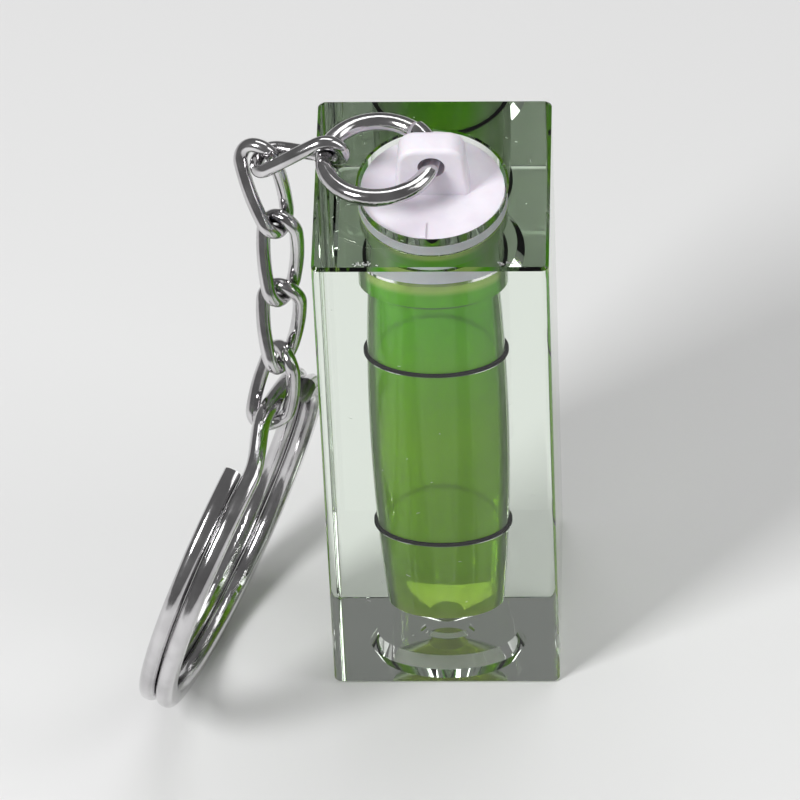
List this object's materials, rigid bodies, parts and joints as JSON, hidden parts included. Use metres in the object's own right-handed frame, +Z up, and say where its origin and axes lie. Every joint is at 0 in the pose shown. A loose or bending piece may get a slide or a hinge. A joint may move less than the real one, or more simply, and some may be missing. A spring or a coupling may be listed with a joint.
{
  "type": "keychain bubble level",
  "caption": "Clear square-block bubble level with green fluid, white end plug, twisted-link chain and split key ring.",
  "frame": {"origin": "centre of the block's base face, where the block rests", "axes": "+Z up the block towards the plug and lug; -Y is the block's front face; the chain hangs off the -X side"},
  "size_m": [0.0273, 0.0241, 0.0435],
  "materials": {
    "clear_acrylic": "gloss",
    "green_fluid": "gloss",
    "white_plug": "satin",
    "black_marker": "matte",
    "chain_plating": "polished",
    "ring_plating": "polished"
  },
  "bodies": {
    "level": {"acrylic_block": "clear_acrylic", "end_plug": "white_plug", "level_fluid": "green_fluid", "marker_ring_upper": "black_marker", "marker_ring_lower": "black_marker"},
    "jump_ring": {"jump_ring": "chain_plating"},
    "chain_link_1": {"chain_link_1": "chain_plating"},
    "chain_link_2": {"chain_link_2": "chain_plating"},
    "chain_link_3": {"chain_link_3": "chain_plating"},
    "chain_link_4": {"chain_link_4": "chain_plating"},
    "chain_link_5": {"chain_link_5": "chain_plating"},
    "split_ring": {"split_ring": "ring_plating"}
  },
  "joints": [
    {"name": "jump_ring_swing", "type": "hinge", "parent": "level", "child": "jump_ring", "pos_m": [0.00007, 0.00037, 0.04203], "axis": [0, 1, 0], "range_deg": [0, 60]},
    {"name": "link_1_swing", "type": "hinge", "parent": "jump_ring", "child": "chain_link_1", "pos_m": [-0.00674, 0.00115, 0.04181], "axis": [-0.2249, -0.9744, -0.002], "range_deg": [-35, 0]},
    {"name": "link_2_swing", "type": "hinge", "parent": "chain_link_1", "child": "chain_link_2", "pos_m": [-0.01123, 0.00225, 0.03979], "axis": [0.1159, 0.9572, 0.2651], "range_deg": [0, 12]},
    {"name": "link_3_swing", "type": "hinge", "parent": "chain_link_2", "child": "chain_link_3", "pos_m": [-0.0099, 0.00035, 0.03539], "axis": [0.3702, 0.8885, -0.271], "range_deg": [0, 4]},
    {"name": "link_4_swing", "type": "hinge", "parent": "chain_link_3", "child": "chain_link_4", "pos_m": [-0.00996, -0.00105, 0.03049], "axis": [0.1753, 0.9459, -0.2732], "range_deg": [0, 8]},
    {"name": "link_5_swing", "type": "hinge", "parent": "chain_link_4", "child": "chain_link_5", "pos_m": [-0.01016, -0.00231, 0.02554], "axis": [-0.0727, 0.9675, -0.2423], "range_deg": [0, 4]},
    {"name": "split_ring_swing", "type": "hinge", "parent": "chain_link_5", "child": "split_ring", "pos_m": [-0.01118, -0.00313, 0.02084], "axis": [-0.8, -0.5369, 0.268], "range_deg": [-4, 4]}
  ]
}
